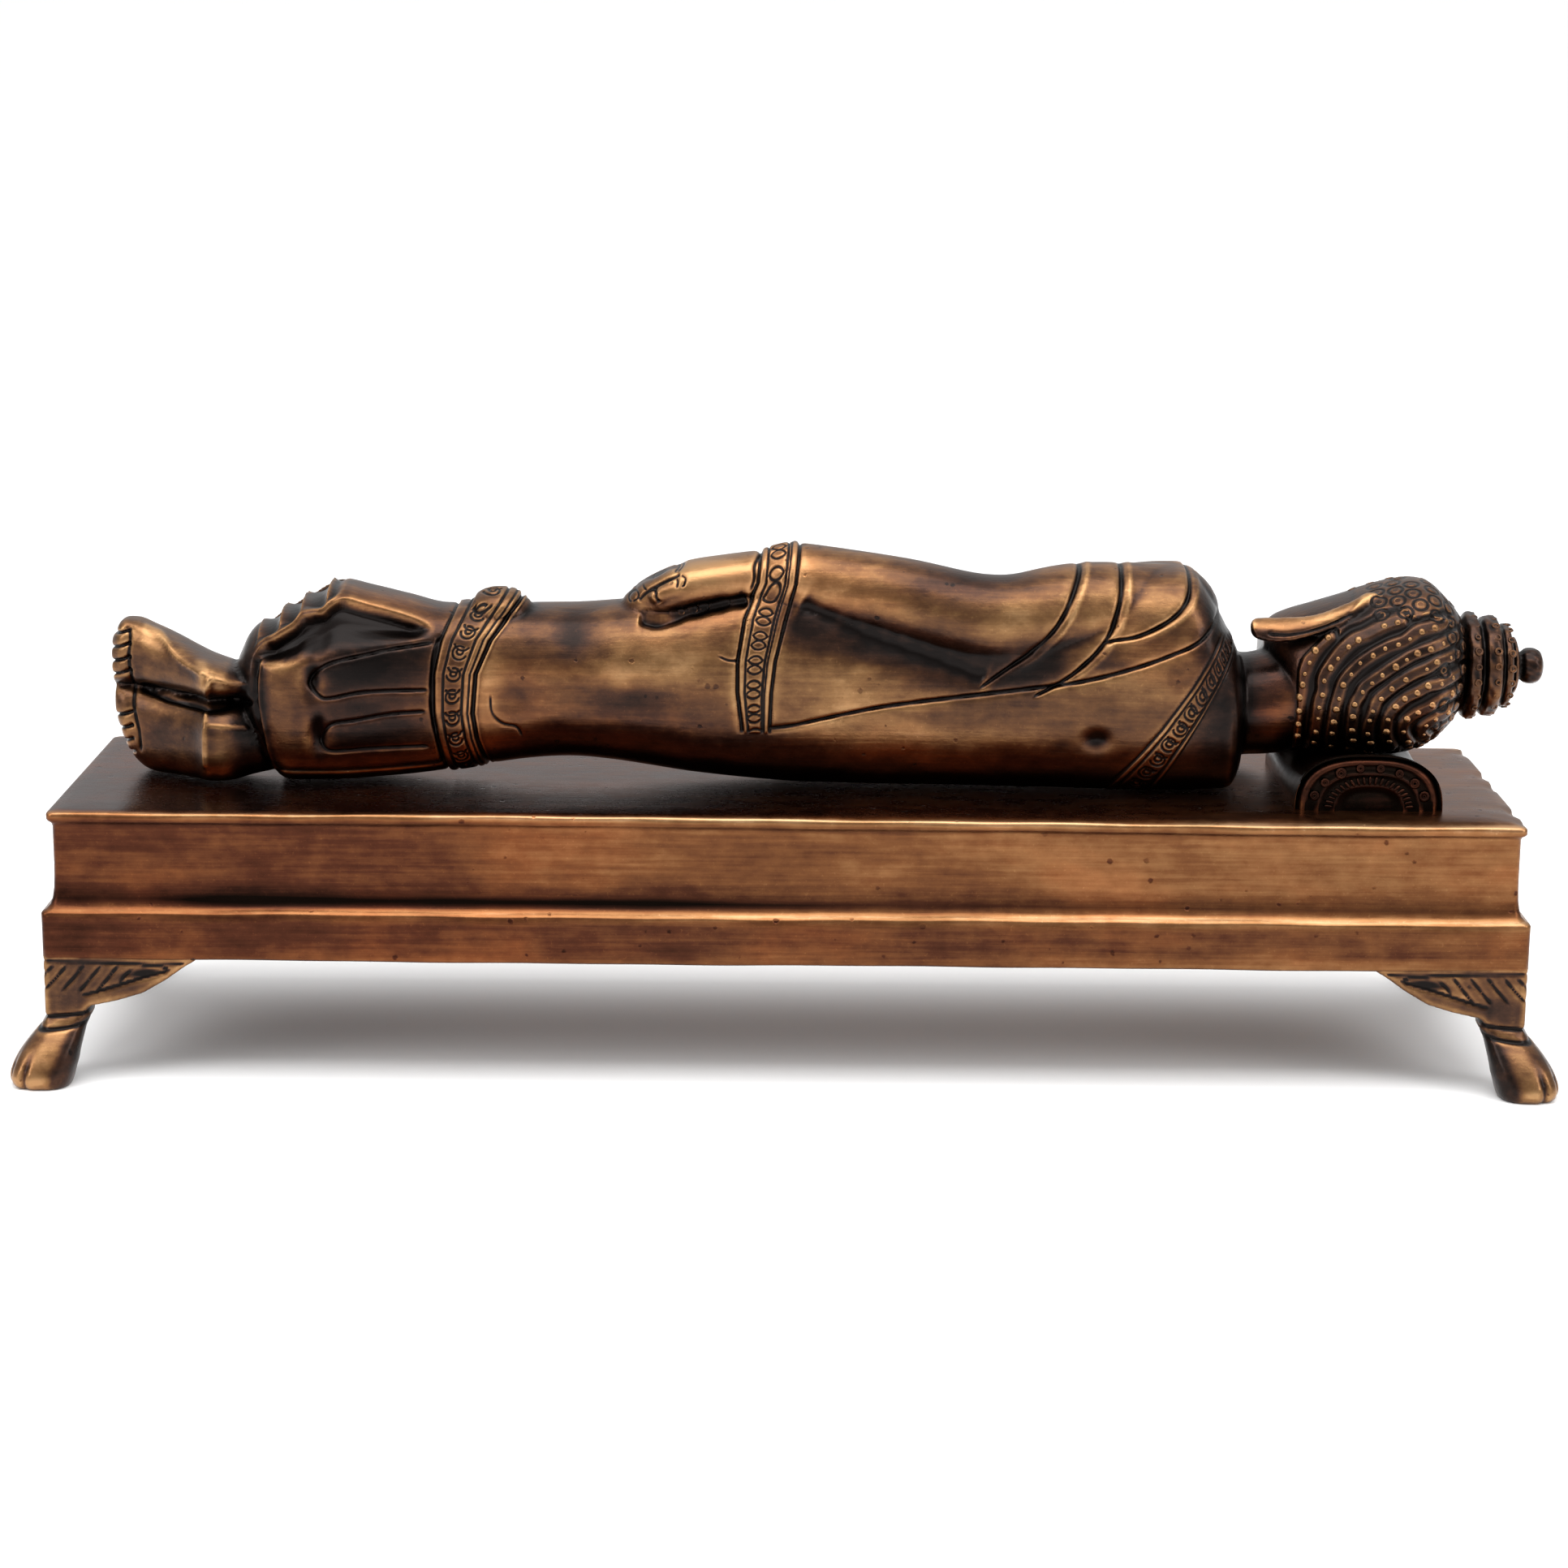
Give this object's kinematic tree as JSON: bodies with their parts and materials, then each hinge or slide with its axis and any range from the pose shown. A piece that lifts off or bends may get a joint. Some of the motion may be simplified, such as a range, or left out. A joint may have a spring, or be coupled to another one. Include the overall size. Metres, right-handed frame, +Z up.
{
  "type": "reclining buddha statue",
  "caption": "Antique brass statue of the reclining Buddha asleep on its right side, head on a half-round pillow, on a hollow rectangular couch with paw feet.",
  "frame": {"origin": "on the floor under the middle of the couch, at the bottom centre of the bounding box", "axes": "+X towards the head, +Y the way the face looks, -Y the side of the figure's back, +Z up"},
  "size_m": [0.335, 0.0958, 0.1144],
  "materials": {
    "figure_bronze": "antique patina, dark in the recesses and rubbed golden on the high places",
    "couch_bronze": "antique patina, brushed along the length, red-brown at the toe end"
  },
  "bodies": {
    "root": {"reclining_figure": "figure_bronze", "couch": "couch_bronze"}
  },
  "joints": []
}
